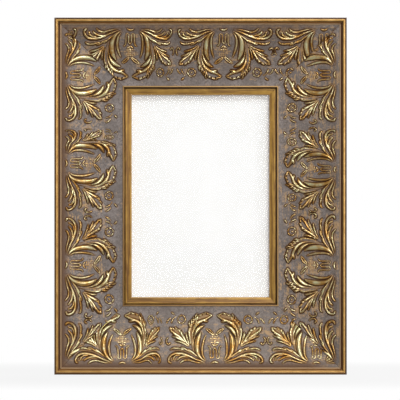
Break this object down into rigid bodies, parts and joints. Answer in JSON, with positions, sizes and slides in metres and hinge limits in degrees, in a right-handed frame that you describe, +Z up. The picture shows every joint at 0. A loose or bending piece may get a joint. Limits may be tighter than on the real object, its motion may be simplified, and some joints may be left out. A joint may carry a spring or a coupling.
{
  "type": "picture frame",
  "caption": "Wide mitred gilt picture frame with scooped panels of raised acanthus ornament, a gilt slip, glass, card and back board, held by turn buttons and hung on D-rings.",
  "frame": {"origin": "on the surface the frame stands on, under the middle of its box", "axes": "+Z up along the frame's height, +X to the right across its width, -Y out of its face"},
  "size_m": [0.277, 0.0346, 0.3384],
  "materials": {
    "gilt_wood": "burnished gold leaf over brown bole on the face, bare wood at the back",
    "ornament": "pressed composition, gilt leaves rubbed through a grey wash",
    "gilt_slip": "satin gold leaf",
    "glass": "clear float glass",
    "card": "blank matt white card",
    "hardboard": "brown hardboard, mesh side out",
    "button_plate": "zinc plated sheet",
    "screws": "brass plated",
    "hanger": "nickel plated",
    "nails": "bright steel strip",
    "bumper": "dark felt-faced rubber"
  },
  "bodies": {
    "frame": {"top_rail": "gilt_wood", "bottom_rail": "gilt_wood", "left_stile": "gilt_wood", "right_stile": "gilt_wood", "top_ornament": "ornament", "bottom_ornament": "ornament", "left_ornament": "ornament", "right_ornament": "ornament", "top_slip": "gilt_slip", "bottom_slip": "gilt_slip", "left_slip": "gilt_slip", "right_slip": "gilt_slip", "glass_pane": "glass", "insert_card": "card", "backing_board": "hardboard", "turn_button_screws": "screws", "hanger_screws": "screws", "left_hanger_strap": "hanger", "right_hanger_strap": "hanger", "corner_nails": "nails", "wall_bumpers": "bumper"},
    "top_turn_button": {"turn_button_top": "button_plate"},
    "bottom_turn_button": {"turn_button_bottom": "button_plate"},
    "left_turn_button": {"turn_button_left": "button_plate"},
    "right_turn_button": {"turn_button_right": "button_plate"},
    "left_ring": {"left_hanger_ring": "hanger"},
    "right_ring": {"right_hanger_ring": "hanger"}
  },
  "joints": [
    {"name": "top_button_turn", "type": "hinge", "parent": "frame", "child": "top_turn_button", "pos_m": [0, 0.0127, 0.2827], "axis": [0, 1, 0], "continuous": true},
    {"name": "bottom_button_turn", "type": "hinge", "parent": "frame", "child": "bottom_turn_button", "pos_m": [0, 0.0127, 0.0557], "axis": [0, 1, 0], "continuous": true},
    {"name": "left_button_turn", "type": "hinge", "parent": "frame", "child": "left_turn_button", "pos_m": [-0.08285, 0.0127, 0.1692], "axis": [0, 1, 0], "continuous": true},
    {"name": "right_button_turn", "type": "hinge", "parent": "frame", "child": "right_turn_button", "pos_m": [0.08285, 0.0127, 0.1692], "axis": [0, 1, 0], "continuous": true},
    {"name": "left_ring_swing", "type": "hinge", "parent": "frame", "child": "left_ring", "pos_m": [-0.10855, 0.01493, 0.2484], "axis": [1, 0, 0], "range_deg": [0, 180]},
    {"name": "right_ring_swing", "type": "hinge", "parent": "frame", "child": "right_ring", "pos_m": [0.10855, 0.01493, 0.2484], "axis": [1, 0, 0], "range_deg": [0, 180]}
  ]
}
